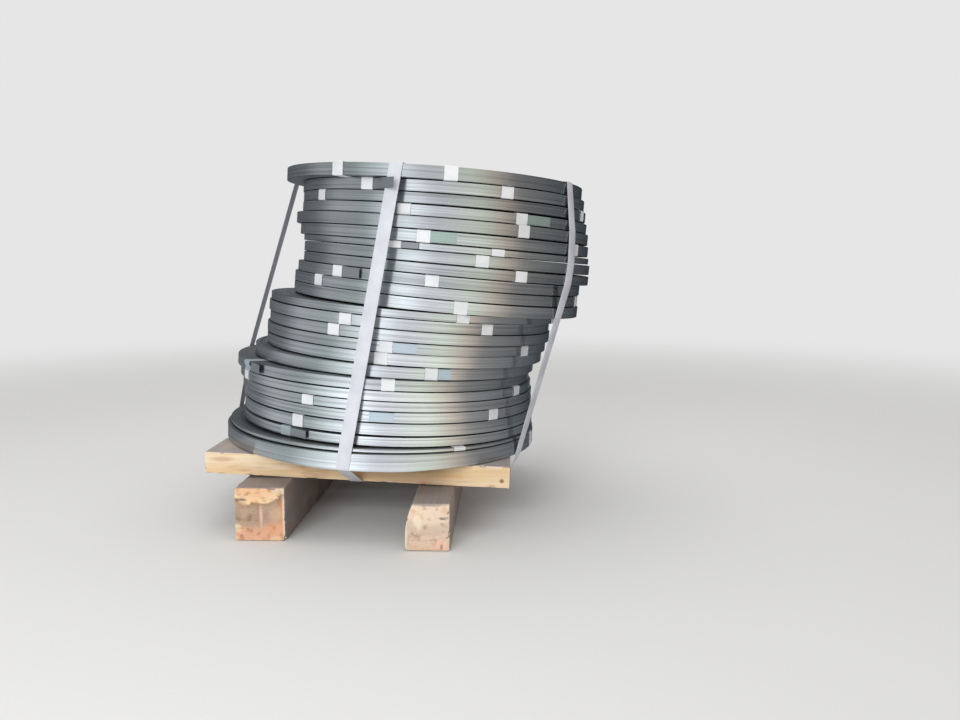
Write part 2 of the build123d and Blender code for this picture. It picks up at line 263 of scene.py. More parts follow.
# How strong the backdrop is as a light, where 1 is as bright as it looks
BACKDROP_LIGHT = 0.8

# The floor's half width, and the distances at which it begins to take the backdrop's tone and has it in full
FLOOR_HALF = 40
FLOOR_FADES = (1.6, 5.0)

# The camera's place on the floor, and how far in degrees it looks down and to the left
CAMERA_FOOT = (0.2637, -2.128)
CAMERA_DOWN = 7.1
CAMERA_LEFT = 2.0


def linear(colour):
    """An sRGB hex colour as linear red, green and blue."""
    parts = [int(colour[i : i + 2], 16) / 255 for i in (1, 3, 5)]
    return [p / 12.92 if p <= 0.04045 else ((p + 0.055) / 1.055) ** 2.4 for p in parts]


def colour_property(name, description, colour):
    """A colour that a user can change."""
    return bpy.props.FloatVectorProperty(
        name=name, description=description, default=linear(colour), subtype="COLOR", size=3, min=0, max=1
    )


def length_property(name, description, millimetres):
    """A length that a user can change."""
    return bpy.props.FloatProperty(
        name=name, description=description, default=millimetres * MM, min=0, unit="LENGTH", precision=4
    )


class CoilSettings(bpy.types.PropertyGroup):
    """Sizes and colours of the slit coils."""

    strip_thickness: length_property("Strip thickness", "Thickness of the wound strip", 0.8)
    rim_round: length_property("Rim round", "Round of the slit edges of the outermost turn", 0.5)
    turn_relief: length_property("Turn relief", "How unevenly the turns lie on a coil's ends", 0.8)
    seam_recess: length_property("Seam recess", "How far the outermost turns stand back at the seams", 0.4)
    overhang_sag: length_property("Overhang sag", "How far the lowest coil's rim sags past the deck", 4.0)
    strip_colour: colour_property("Strip", "Colour of the galvanised face of the strip", "#c7c9ca")
    edge_colour: colour_property("Slit edge", "Colour of the slit edges on a coil's ends", "#8d9092")


class StrapSettings(bpy.types.PropertyGroup):
    """Sizes and colours of the steel strapping."""

    thickness: length_property("Thickness", "Thickness of the strapping", 0.8)
    fold_radius: length_property("Fold radius", "Radius of a band's folds over a coil's edges", 1.6)
    seal_plate: length_property("Seal plate", "Thickness of a seal's sheet", 1.0)
    notch_depth: length_property("Notch depth", "Depth of the crimped notches in a seal's edges", 1.6)
    colour: colour_property("Load strap", "Colour of the load straps' bright steel", "#dcdce3")
    band_colour: colour_property("Band", "Colour of the coil bands' bright steel", "#ececee")
    # This band colour is painted shade and dark reflection
    shade_painted_band_colour: colour_property("Band with painted shade", "Colour painted on a band as shade", "#aab6ba")


class TimberSettings(bpy.types.PropertyGroup):
    """Sizes and colours of the deck planks and the bearers."""

    saw_relief: length_property("Saw relief", "Height of the sawn surface's unevenness", 0.5)
    plank_tint: colour_property("Plank tint", "Colour that tints the deck's wood", "#ffffff")
    bearer_tint: colour_property("Bearer tint", "Colour that tints the bearers' wood", "#ffffff")
    weathered_colour: colour_property("Weathered", "Colour of weathered and dusty timber", "#94867f")


class StageSettings(bpy.types.PropertyGroup):
    """Floor, lamps and camera."""

    floor_colour: colour_property("Floor", "Colour of the studio floor", "#e2e1df")
    backdrop_colour: colour_property("Backdrop", "Colour of the backdrop", "#e6e6e6")
    lens: bpy.props.FloatProperty(name="Lens", description="Focal length in mm", default=30.0, min=1)
    card_strength: bpy.props.FloatProperty(
        name="Cards", description="Brightness of the soft boxes that the metal mirrors", default=1.6, min=0
    )
    camera_height: length_property("Camera height", "Height of the camera over the floor", 631)


class CoilLoadSettings(bpy.types.PropertyGroup):
    """All the settings of the load."""

    coils: bpy.props.PointerProperty(name="Coils", description="Slit coils", type=CoilSettings)
    straps: bpy.props.PointerProperty(name="Straps", description="Strapping", type=StrapSettings)
    timber: bpy.props.PointerProperty(name="Timber", description="Skid timber", type=TimberSettings)
    stage: bpy.props.PointerProperty(name="Stage", description="Stage", type=StageSettings)


def settings():
    """The settings of the load in the open scene."""
    return bpy.context.scene.coil_load


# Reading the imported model


def node_mesh(name):
    """A CAD node's points and triangles, each point once."""
    mesh = NODES[name].data
    points = np.empty(len(mesh.vertices) * 3)
    mesh.vertices.foreach_get("co", points)
    mesh.calc_loop_triangles()
    triangles = np.empty(len(mesh.loop_triangles) * 3, dtype=int)
    mesh.loop_triangles.foreach_get("vertices", triangles)
    unique, index = np.unique(points.reshape(-1, 3).round(6), axis=0, return_inverse=True)
    return unique, index.reshape(-1)[triangles].reshape(-1, 3)


def loose_solids(name):
    """The points of each solid of a CAD node: points that share a triangle are in one solid."""
    points, triangles = node_mesh(name)
    label = np.arange(len(points))
    while True:
        before = label.copy()
        least = label[triangles].min(axis=1)
        np.minimum.at(label, triangles, np.repeat(least[:, None], 3, axis=1))
        if np.array_equal(before, label):
            return [points[label == one] for one in np.unique(label)]


def unit(vectors):
    """Vectors made one long."""
    return vectors / np.linalg.norm(vectors, axis=-1, keepdims=True)


class Ring:
    """A coil's own frame and sizes: x to the right along its end, y to the back, and its axis up.

    The axis is the direction in which the ring's points spread least.
    """

    def __init__(self, name):
        points = node_mesh(name)[0]
        self.name = name
        self.middle = (points.min(0) + points.max(0)) / 2
        self.axis = np.linalg.svd(points - points.mean(0), full_matrices=False)[2][2]
        self.axis = self.axis * np.sign(self.axis[2])
        self.right = unit(np.cross((0.0, 1.0, 0.0), self.axis))
        self.back = np.cross(self.axis, self.right)
        local = self.local(points)
        spread = np.hypot(local[:, 0], local[:, 1])
        self.radius = spread.max()
        self.bore = spread.min()
        self.half = np.abs(local[:, 2]).max()

    def local(self, points):
        """Points of the model in the ring's own frame."""
        return (points - self.middle) @ np.stack([self.right, self.back, self.axis], axis=1)

    def place(self, radius, angle, height):
        """Points at radii, angles in radians and heights in the ring's own frame."""
        radius, angle, height = np.broadcast_arrays(radius, angle, height)
        return (
            self.middle
            + (radius * np.cos(angle))[..., None] * self.right
            + (radius * np.sin(angle))[..., None] * self.back
            + height[..., None] * self.axis
        )

    def outward(self, angle):
        """The directions away from the axis at angles in radians."""
        angle = np.asarray(angle)
        return np.cos(angle)[..., None] * self.right + np.sin(angle)[..., None] * self.back


RINGS = {name: Ring(name) for name in COIL_NAMES}


def bands_of(name):
    """Each band of a node as (ring, angle, nearest, farthest, half height), read from its solid."""
    numbers = name.removeprefix(BANDS_PREFIX)
    first, last = int(numbers[:2]), int(numbers[-2:])
    rings = [RINGS[f"coil_{number:02d}"] for number in range(first, last + 1)]
    bands = []
    for points in loose_solids(name):
        middle = points.mean(0)
        ring = min(rings, key=lambda one: abs(one.local(middle)[2]))
        local = ring.local(middle)
        angle = math.atan2(local[1], local[0])
        along = ring.local(points) @ np.array([math.cos(angle), math.sin(angle), 0.0])
        bands.append((ring, angle, along.min(), along.max(), np.abs(ring.local(points)[:, 2]).max()))
    return bands


# Shapes


def grid_faces(rows, columns, closed_rows, closed_columns):
    """The quads between the rows and columns of a grid of points, and each corner's row and column.

    A closed grid runs on past its last row or column to its first.
    """
    row, column = np.meshgrid(
        np.arange(rows if closed_rows else rows - 1),
        np.arange(columns if closed_columns else columns - 1),
        indexing="ij",
    )
    corner_rows = np.stack([row, row, row + 1, row + 1], -1).reshape(-1, 4)
    corner_columns = np.stack([column, column + 1, column + 1, column], -1).reshape(-1, 4)
    faces = (corner_rows % rows) * columns + corner_columns % columns
    return faces, corner_rows, corner_columns


def random_waves(points, size, seed, stretch=(1, 1, 1), count=9):
    """A smooth random relief of about -1 to 1: the sum of sine waves with seeded directions and phases.

    Their wavelengths lie around size, and stretch lengthens them along each axis.
    """
    rng = np.random.default_rng(seed)
    turn = unit(rng.normal(size=(count, 3))) * (2 * np.pi / (size * rng.uniform(0.6, 1.6, (count, 1))))
    phase = rng.uniform(0, 2 * np.pi, count)
    return np.sin((points / np.asarray(stretch)) @ turn.T + phase).sum(axis=-1) / math.sqrt(count) * 1.2


def wandering(rng, low, high, angle, waves=(1, 2, 3, 5)):
    """A level round the coil between about low and high: a constant and one sine for each wave count."""
    level = rng.uniform(-0.5, 0.5) + sum(0.3 * np.sin(n * angle + rng.uniform(0, 6.28)) for n in waves)
    return (low + high) / 2 + (high - low) / 2 * np.clip(level, -1, 1)


def end_levels(ring, ridges, angle, rng):
    """Radii from the rim to the bore over one end of a coil, and how deep each lies below the end's plane.

    The outermost turns stand back by the seam recess. The rest lie in ridges, each at its own level, which
    sways with the angle. The outermost ridge lies in the end's plane.
    """
    coils = settings().coils
    rim = coils.rim_round
    recess = wandering(rng, 0.2, 1.9, angle) * coils.seam_recess
    bounds = np.linspace(ring.bore + BORE_LIP, ring.radius - RIDGES_BEGIN, ridges + 1)
    bounds[1:-1] += rng.uniform(-0.25, 0.25, ridges - 1) * (bounds[1] - bounds[0])
    inner = np.stack([bounds[1:] - RIDGE_CRACK, bounds[:-1] + RIDGE_CRACK], -1)[::-1].reshape(-1)
    outer = np.array([ring.radius - 0.3 * rim, ring.radius - rim, ring.radius - OUTER_TURNS])
    radii = np.concatenate([outer, inner, [ring.bore + rim, ring.bore]])
    depth = np.zeros((len(radii), len(angle)))
    depth[0] = recess + 0.5 * rim
    depth[1:3] = recess
    steps = rng.uniform(0.05, 1.0, ridges) ** 1.4
    for ridge, step in enumerate(steps):
        sway = wandering(rng, -0.4, 0.4, angle, (1, 2)) * rng.uniform(0.2, 1.0)
        depth[3 + 2 * ridge : 5 + 2 * ridge] = np.clip(step + sway, 0.02, 1.3) * coils.turn_relief
    depth[3:5] = 0.0
    depth[-2] = 0.1 * MM
    depth[-1] = rim
    return radii, depth


def coil_surface(ring, ridges, seed):
    """A wound ring's surface, as a section carried round the axis.

    The section runs up the outer wall, in over the turns of the upper end, down the bore and out over
    the turns of the lower end. The outer wall's radius sways with sines, by some tenths of a millimetre.
    """
    rng = np.random.default_rng(seed)
    angle = np.linspace(-np.pi, np.pi, COIL_STEPS, endpoint=False)
    radii, top = end_levels(ring, ridges, angle, rng)
    bottom_radii, bottom = end_levels(ring, ridges, angle, rng)
    shoulder = 0.4 * MM
    highest = ring.half - top[0]
    lowest = bottom[0] - ring.half
    wall = np.stack([lowest, lowest + shoulder, 0 * angle, highest - shoulder, highest])
    sway = wandering(rng, -0.4, -0.05, angle, (2, 3, 5, 7)) * MM
    section = np.concatenate([np.full(len(wall), ring.radius), radii, bottom_radii[::-1]])
    near_rim = section > ring.radius - 1.2 * MM
    radius = section[:, None] + sway * near_rim[:, None]
    height = np.concatenate([wall, ring.half - top, (bottom - ring.half)[::-1]])
    points = ring.place(radius, angle[None], height)
    rows, columns = radius.shape
    faces, corner_rows, corner_columns = grid_faces(rows, columns, True, True)
    # Each coil's pattern starts elsewhere, so that no two look alike.
    along = ring.radius * (2 * np.pi / columns) * np.arange(columns + 1) + rng.uniform(0, 90)
    across = np.concatenate([wall.mean(axis=1), ring.half + ring.radius - radii, bottom_radii[::-1] - 1.0])
    across = np.append(across, across[0] - 0.01 * MM) + rng.uniform(0, 20)
    corners = np.stack([along[corner_columns], across[corner_rows]], -1)
    on_end = (corner_rows[:, 0] > len(wall)) & (corner_rows[:, 0] < rows - 2)
    return points.reshape(-1, 3), faces, corners, on_end.astype(int)


def sagged(ring, points, deck_front):
    """Lowers the lowest coil's bottom rim in front of the deck, by the square of the run past its edge."""
    past = np.clip((deck_front - SAG_BEGINS - points[:, 1]) / SAG_REACH, 0, 1) ** 2
    share = np.clip(0.5 - ring.local(points)[:, 2] / (2 * ring.half), 0, 1)
    drop = settings().coils.overhang_sag * past * share
    return points - drop[:, None] * (0, 0, 1)


def ribbon_surface(middle, across, outward, width, thickness, closed):
    """A flat strip along a path: at each point of the path stands a rectangle with its corners taken off.

    The rectangle is width wide along across, and from the path outward it is thickness thick.
    """
    edge = thickness * 0.3
    wide = width / 2
    side = np.array([-wide, -wide, -wide + edge, wide - edge, wide, wide, wide - edge, -wide + edge])
    rise = np.array([edge, thickness - edge, thickness, thickness, thickness - edge, edge, 0.0, 0.0])
    points = middle[:, None] + side[:, None] * across[:, None] + rise[:, None] * outward[:, None]
    rows, columns = len(middle), len(side)
    faces, corner_rows, corner_columns = grid_faces(rows, columns, closed, True)
    run = np.append(0.0, np.cumsum(np.linalg.norm(np.diff(middle, axis=0, append=middle[:1]), axis=1)))
    over = np.append(side, side[0])
    over[-1] -= 2 * edge
    corners = np.stack([run[corner_rows], over[corner_columns]], -1)
    kinds = np.zeros(len(faces), dtype=int)
    if not closed:
        cap = np.array([[0, 1, 4, 5], [1, 2, 3, 4], [5, 6, 7, 0]])
        last = (rows - 1) * columns
        faces = np.concatenate([faces, cap[:, ::-1], cap + last])
        cap_corners = np.stack([rise[cap % columns], side[cap % columns]], -1)
        corners = np.concatenate([corners, cap_corners[:, ::-1], cap_corners])
        kinds = np.append(kinds, np.ones(2 * len(cap), dtype=int))
    return points.reshape(-1, 3), faces, corners, kinds


def tail_surface(ring, start, length, lift, spring):
    """The strip's free outer end, lying along the coil and springing away with a power of the run.

    Its faces are of the third kind and its cut ends of the second.
    """
    share = np.linspace(0, 1, 12)
    angle = math.radians(start) + share * length / ring.radius
    middle = ring.place(ring.radius + TAIL_GAP + lift * share**spring, angle, 0.0)
    across = np.repeat(ring.axis[None], len(share), axis=0)
    width = 2 * (ring.half - TAIL_MARGIN)
    thickness = settings().coils.strip_thickness
    *surface, kinds = ribbon_surface(middle, across, ring.outward(angle), width, thickness, False)
    return *surface, 2 - kinds


def band_surface(ring, angle, nearest, farthest, half_height, crumple, seed):
    """A band closed round one coil's section: a rectangle with rounded folds, swept by the strapping.

    A crumpled band's outer part wanders in and out by random waves.
    """
    straps = settings().straps
    thickness = straps.thickness
    fold = straps.fold_radius
    inner = nearest + thickness
    outer = farthest - thickness
    half = half_height - thickness
    quarter = np.linspace(0, np.pi / 2, 5)
    folds = ((outer - fold, half - fold), (inner + fold, half - fold))
    folds += ((inner + fold, fold - half), (outer - fold, fold - half))
    path = []
    for number, (out, up) in enumerate(folds):
        facing = quarter + number * np.pi / 2
        path.append(np.stack([out + fold * np.cos(facing), up + fold * np.sin(facing), facing], -1))
    path = np.concatenate(path)
    middles = np.linspace(path[-1], path[0] + [0, 0, 2 * np.pi], 6)[1:-1]
    path = np.concatenate([path, middles])
    out, up, facing = path.T
    if crumple:
        place = np.stack([out, up, np.zeros_like(out)], -1)
        reached = out > outer - CRUMPLED_REACH
        out = out + crumple * reached * (0.6 + random_waves(place, CRUMPLE_WAVE, seed))
    direction = ring.outward(angle)
    middle = ring.middle + out[:, None] * direction + up[:, None] * ring.axis
    outward = np.cos(facing)[:, None] * direction + np.sin(facing)[:, None] * ring.axis
    across = np.repeat(np.cross(direction, ring.axis)[None], len(path), axis=0)
    return ribbon_surface(middle, across, outward, STRAPPING_WIDTH, thickness, True)


def seal_surface(name):
    """A crimped sleeve: a flattened tube whose width narrows at its notches by bell curves.

    Its length, width and thickness lie along the directions in which the CAD node spreads most to least.
    """
    straps = settings().straps
    points = node_mesh(name)[0]
    middle = (points.min(0) + points.max(0)) / 2
    run, across, out = np.linalg.svd(points - points.mean(0), full_matrices=False)[2]
    spread = np.abs((points - points.mean(0)) @ np.stack([run, across, out], 1)).max(0)
    share = np.linspace(-1, 1, 41)
    notch_places, notch_width = (-0.42, 0.42), 0.09
    notch = sum(np.exp(-(((share - place) / notch_width) ** 2)) for place in notch_places)
    turn = np.linspace(0, 2 * np.pi, 24, endpoint=False)
    corner = 6.0
    side = np.sign(np.cos(turn)) * np.abs(np.cos(turn)) ** (2 / corner)
    rise = np.sign(np.sin(turn)) * np.abs(np.sin(turn)) ** (2 / corner)
    shells = []
    for inset in (0.0, straps.seal_plate):
        wide = (spread[1] - inset - straps.notch_depth * notch)[:, None] * side
        high = (spread[2] - inset * 0.8) * (1 + 0.12 * notch[:, None]) * rise
        centre = middle + (share * spread[0])[:, None, None] * run
        shells.append(centre + wide[..., None] * across + high[..., None] * out)
    grid = np.concatenate([shells[0], shells[1][::-1]])
    faces, corner_rows, corner_columns = grid_faces(len(grid), len(turn), True, True)
    corners = np.stack([corner_rows * 1.1 * MM, corner_columns * 3 * MM], -1)
    return grid.reshape(-1, 3), faces, corners, np.zeros(len(faces), dtype=int)


def box_lattice(counts):
    """The points and quads of a box's surface in counts cells along x, y and z, from -1 to 1 along each."""
    quads = []
    for axis in range(3):
        first, second = (axis + 1) % 3, (axis + 2) % 3
        i, j = np.meshgrid(np.arange(counts[first]), np.arange(counts[second]), indexing="ij")
        for side in (0, counts[axis]):
            corners = [(0, 0), (1, 0), (1, 1), (0, 1)]
            quad = np.empty((i.size, 4, 3), dtype=int)
            for number, (di, dj) in enumerate(corners if side else corners[::-1]):
                quad[:, number, axis] = side
                quad[:, number, first] = (i + di).reshape(-1)
                quad[:, number, second] = (j + dj).reshape(-1)
            quads.append(quad)
    lattice, index = np.unique(np.concatenate(quads).reshape(-1, 3), axis=0, return_inverse=True)
    return lattice / np.asarray(counts) * 2 - 1, index.reshape(-1, 4)


def rounded_box(counts, half, edge):
    """A box with rounded edges: each point is pulled onto a ball of radius edge about an inner box."""
    lattice, faces = box_lattice(counts)
    points = lattice * half
    inner = np.clip(points, edge - half, half - edge)
    normal = unit(points - inner + 1e-9 * lattice)
    return inner + normal * edge, normal, faces


def timber_relief(points, normal, grain, seed):
    """Sawn timber's unevenness, below its surface: saw marks, raised grain and knocked edges."""
    relief = settings().timber.saw_relief
    lengthened = np.where(np.asarray(grain) > 0, 1.0, 0.0)
    fibre = random_waves(points, 6 * MM, seed, 1 + 13 * lengthened)
    slow = random_waves(points, 60 * MM, seed + 1, 1 + 3 * lengthened)
    corner = np.sort(np.abs(normal), axis=-1)[:, -2] > 0.2
    knocks = np.maximum(random_waves(points, 22 * MM, seed + 2) - 0.7, 0) * corner
    return np.minimum(-relief * (0.8 + 0.4 * fibre + 0.4 * slow), 0) - 3.2 * MM * knocks


def front_wounds(points, normal, wounds):
    """Cracks and chips in the front face: ovals of a given depth, length, width and slope."""
    depth = np.zeros(len(points))
    for x, z, length, width, slope, deep in wounds:
        turn = math.radians(slope)
        dx, dz = points[:, 0] - x * MM, points[:, 2] - z * MM
        run = (dx * math.cos(turn) + dz * math.sin(turn)) / (length * MM / 2)
        off = (dz * math.cos(turn) - dx * math.sin(turn)) / (width * MM / 2)
        depth = np.maximum(depth, deep * MM * np.exp(-(run**4) - off**2))
    return depth * np.clip(-normal[:, 1], 0, 1)


def plank_surface(name, seed):
    """A deck plank: a rounded box in the plank's own directions, with sawn relief along its length."""
    points = node_mesh(name)[0]
    middle = (points.min(0) + points.max(0)) / 2
    along = np.linalg.svd(points - points.mean(0), full_matrices=False)[2][0]
    along = along * np.sign(along[0])
    across = np.array([0.0, 1.0, 0.0])
    turn = np.stack([along, across, np.cross(along, across)])
    half = np.abs((points - middle) @ turn.T).max(0)
    local, normal, faces = rounded_box((150, 36, 16), half, 2.2 * MM)
    local = local + normal * timber_relief(local, normal, (1, 0, 0), seed)[:, None]
    placed = middle + local @ turn
    placed[:, 1] += front_wounds(placed, normal, WOUNDS.get(name, ()))
    return placed, faces, np.zeros(faces.shape + (2,)), np.zeros(len(faces), dtype=int)


def bearer_surface(name, seed):
    """A bearer: a rounded box with sawn relief along its length, drawn in on the left where it is waney."""
    points = node_mesh(name)[0]
    low, high = points.min(0), points.max(0)
    middle = (low + high) / 2
    half = (high - low) / 2
    local, normal, faces = rounded_box((50, 110, 50), half, 4 * MM)
    section = points[points[:, 1] < low[1] + 1 * MM]
    left = section[section[:, 0] < middle[0]]
    order = np.argsort(left[:, 2])
    edge = np.interp(local[:, 2] + middle[2], left[order, 2], left[order, 0]) - middle[0]
    scale = (half[0] - edge) / (2 * half[0])
    local[:, 0] = half[0] - (half[0] - local[:, 0]) * scale
    local = local + normal * timber_relief(local, normal, (0, 1, 0), seed)[:, None]
    placed = middle + local
    placed[:, 1] += front_wounds(placed, normal, WOUNDS[name])
    return placed, faces, np.zeros(faces.shape + (2,)), np.zeros(len(faces), dtype=int)


def solid_volume(points, faces):
    """Six times the volume inside quads, positive where they face outwards."""
    a, b, c, d = (points[faces[:, corner]] for corner in range(4))
    return np.einsum("ij,ij->", a, np.cross(b, c)) + np.einsum("ij,ij->", a, np.cross(c, d))


def joined(surfaces):
    """Closed quad surfaces as one, each turned outwards: points, faces, corner UVs and materials."""
    points, faces, corners, kinds = [], [], [], []
    start = 0
    for own_points, own_faces, own_corners, own_kinds in surfaces:
        if solid_volume(own_points - own_points.mean(0), own_faces) < 0:
            own_faces = own_faces[:, ::-1]
            own_corners = own_corners[:, ::-1]
        points.append(own_points)
        faces.append(own_faces + start)
        corners.append(own_corners)
        kinds.append(own_kinds)
        start += len(own_points)
    return [np.concatenate(parts) for parts in (points, faces, corners, kinds)]


def new_piece(name, surfaces, materials, replaced):
    """One object from closed quad surfaces, with their run and width as a UV map, in place of CAD nodes."""
    points, faces, corners, kinds = joined(surfaces)
    mesh = bpy.data.meshes.new(name)
    mesh.vertices.add(len(points))
    mesh.vertices.foreach_set("co", points.reshape(-1))
    mesh.loops.add(faces.size)
    mesh.loops.foreach_set("vertex_index", faces.reshape(-1))
    mesh.polygons.add(len(faces))
    mesh.polygons.foreach_set("loop_start", np.arange(0, faces.size, 4))
    for material in materials:
        mesh.materials.append(material)
    mesh.polygons.foreach_set("material_index", kinds)
    mesh.update(calc_edges=True)
    layer = mesh.uv_layers.new(name="strip")
    layer.uv.foreach_set("vector", corners.reshape(-1))
    mesh.polygons.foreach_set("use_smooth", np.ones(len(faces), dtype=bool))
    mesh.set_sharp_from_angle(angle=math.radians(SHARP_ANGLE))
    mesh.validate()
    piece = bpy.data.objects.new(name, mesh)
    bpy.context.scene.collection.objects.link(piece)
    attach(piece, "root")
    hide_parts(*replaced)


# Materials


def add_node(tree, kind, inputs=None, stops=None, **options):
    """Adds a node with its options, its inputs as values or links, and a colour ramp's stops."""
    node = tree.nodes.new(kind)
    for key, value in options.items():
        setattr(node, key, value)
    for key, value in (inputs or {}).items():
        if isinstance(value, bpy.types.NodeSocket):
            tree.links.new(value, node.inputs[key])
        else:
            node.inputs[key].default_value = value
    if stops:
        ramp = node.color_ramp.elements
        while len(ramp) < len(stops):
            ramp.new(0.5)
        for element, (place, colour) in zip(ramp, stops):
            element.position = place
            element.color = (*colour, 1) if len(colour) == 3 else colour
    return node


def new_material(name):
    """An empty material and its node tree."""
    material = bpy.data.materials.new(name)
    material.use_nodes = True
    material.node_tree.nodes.clear()
    return material, material.node_tree


def shade(colour, factor):
    """A colour made lighter or darker by a factor."""
    return tuple(min(1.0, part * factor) for part in colour)


def mixed(colour, other, share):
    """A colour that goes by a share towards another."""
    return tuple(a + (b - a) * share for a, b in zip(colour, other))


def galvanised_strip():
    """Hot-dip galvanised strip, skin-passed by ground rolls.

    The rolls leave fine lines along the strip, which draw every highlight out across it, and streaks of
    brighter and duller zinc. The strip isn't quite flat along its length, so highlights break up sideways.
    """
    colour = tuple(settings().coils.strip_colour)
    material, tree = new_material("galvanised_skin_passed_strip")
    strip = add_node(tree, "ShaderNodeUVMap", uv_map="strip")
    noise = {}
    for pattern, (cells, detail) in ZINC_PATTERNS.items():
        run = add_node(tree, "ShaderNodeMapping", {"Vector": strip.outputs["UV"], "Scale": cells})
        inputs = {"Vector": run.outputs[0], "Scale": 1.0, "Detail": detail}
        noise[pattern] = add_node(tree, "ShaderNodeTexNoise", inputs)
    height = {pattern: node.outputs["Fac"] for pattern, node in noise.items()}
    film = add_node(
        tree,
        "ShaderNodeValToRGB",
        {"Fac": height["streaks"]},
        stops=[(0.34, shade(colour, 0.76)), (0.48, colour), (0.66, shade(colour, 1.15))],
    )
    dulled = add_node(
        tree,
        "ShaderNodeMapRange",
        {"Value": height["stretches"], "From Min": 0.35, "From Max": 0.65, "To Min": 0.82, "To Max": 1.1},
    )
    coat = add_node(
        tree,
        "ShaderNodeVectorMath",
        {0: film.outputs["Color"], "Scale": dulled.outputs["Result"]},
        operation="SCALE",
    )
    grey_line = add_node(tree, "ShaderNodeRGBToBW", {"Color": noise["roll_lines"].outputs["Color"]})
    lined = add_node(
        tree,
        "ShaderNodeMix",
        {"Factor": 0.45, "A": coat.outputs[0], "B": grey_line.outputs[0]},
        data_type="RGBA",
        blend_type="OVERLAY",
    )
    rough = add_node(
        tree,
        "ShaderNodeMapRange",
        {"Value": height["clouds"], "From Min": 0.3, "From Max": 0.7, "To Min": 0.2, "To Max": 0.3},
    )
    waved = add_node(
        tree, "ShaderNodeBump", {"Height": height["waves"], "Strength": 1.0, "Distance": 0.12 * MM}
    )
    bump = add_node(
        tree,
        "ShaderNodeBump",
        {
            "Height": height["roll_lines"],
            "Strength": 0.3,
            "Distance": 0.04 * MM,
            "Normal": waved.outputs["Normal"],
        },
    )
    tangent = add_node(tree, "ShaderNodeTangent", direction_type="UV_MAP", uv_map="strip")
    surface = add_node(
        tree,
        "ShaderNodeBsdfPrincipled",
        {
            "Base Color": lined.outputs["Result"],
            "Metallic": 1.0,
            "Roughness": rough.outputs["Result"],
            "Anisotropic": 0.55,
            "Anisotropic Rotation": 0.25,
            "Normal": bump.outputs["Normal"],
            "Tangent": tangent.outputs["Tangent"],
        },
    )
    add_node(tree, "ShaderNodeOutputMaterial", {"Surface": surface.outputs[0]})
    return material


def strip_end(finish):
    """The strip's free outer end in an even, duller satin, whose tone paints the reflection it shows."""
    colour = linear(TAIL_REFLECTION_TONES[finish])
    material, tree = new_material(f"{finish}_strip_end_painted_reflection")
    strip = add_node(tree, "ShaderNodeUVMap", uv_map="strip")
    lines = add_node(tree, "ShaderNodeMapping", {"Vector": strip.outputs["UV"], "Scale": (8, 300, 1)})
    line = add_node(tree, "ShaderNodeTexNoise", {"Vector": lines.outputs[0], "Scale": 1.0, "Detail": 2.0})
    tone = add_node(
        tree,
        "ShaderNodeValToRGB",
        {"Fac": line.outputs["Fac"]},
        stops=[(0.35, shade(colour, 0.85)), (0.6, colour)],
    )
    surface = add_node(
        tree,
        "ShaderNodeBsdfPrincipled",
        {"Base Color": tone.outputs["Color"], "Metallic": 0.6, "Roughness": 0.4},
    )
    add_node(tree, "ShaderNodeOutputMaterial", {"Surface": surface.outputs[0]})
    return material


def slit_edges():
    """Slit edges of wound strip: bare sheared steel between zinc faces, so duller and darker than a face."""
    colour = tuple(settings().coils.edge_colour)
    material, tree = new_material("slit_edges_of_wound_strip")
    strip = add_node(tree, "ShaderNodeUVMap", uv_map="strip")
    # The turns are 0.8 mm thick. Their lines are drawn 2.4 mm apart, so that they show.
    turns = add_node(tree, "ShaderNodeMapping", {"Vector": strip.outputs["UV"], "Scale": (0.8, 415, 1)})
    turn = add_node(tree, "ShaderNodeTexNoise", {"Vector": turns.outputs[0], "Scale": 1.0, "Detail": 2.0})
    spots = add_node(tree, "ShaderNodeTexCoord")
    stain = add_node(
        tree, "ShaderNodeTexNoise", {"Vector": spots.outputs["Object"], "Scale": 16.0, "Detail": 5.0}
    )
    tone = add_node(
        tree,
        "ShaderNodeValToRGB",
        {"Fac": turn.outputs["Fac"]},
        stops=[(0.36, shade(colour, 0.45)), (0.5, colour), (0.66, shade(colour, 1.35))],
    )
    rust = add_node(
        tree,
        "ShaderNodeValToRGB",
        {"Fac": stain.outputs["Fac"]},
        stops=[(0.56, (0, 0, 0)), (0.75, (0.35, 0.35, 0.35))],
    )
    stained = add_node(
        tree,
        "ShaderNodeMix",
        {"Factor": rust.outputs["Color"], "A": tone.outputs["Color"], "B": (*linear("#5b4636"), 1)},
        data_type="RGBA",
    )
    bump = add_node(
        tree, "ShaderNodeBump", {"Height": turn.outputs["Fac"], "Strength": 0.7, "Distance": 0.5 * MM}
    )
    surface = add_node(
        tree,
        "ShaderNodeBsdfPrincipled",
        {
            "Base Color": stained.outputs["Result"],
            "Metallic": 0.9,
            "Roughness": 0.45,
            "Normal": bump.outputs["Normal"],
        },
    )
    add_node(tree, "ShaderNodeOutputMaterial", {"Surface": surface.outputs[0]})
    return material


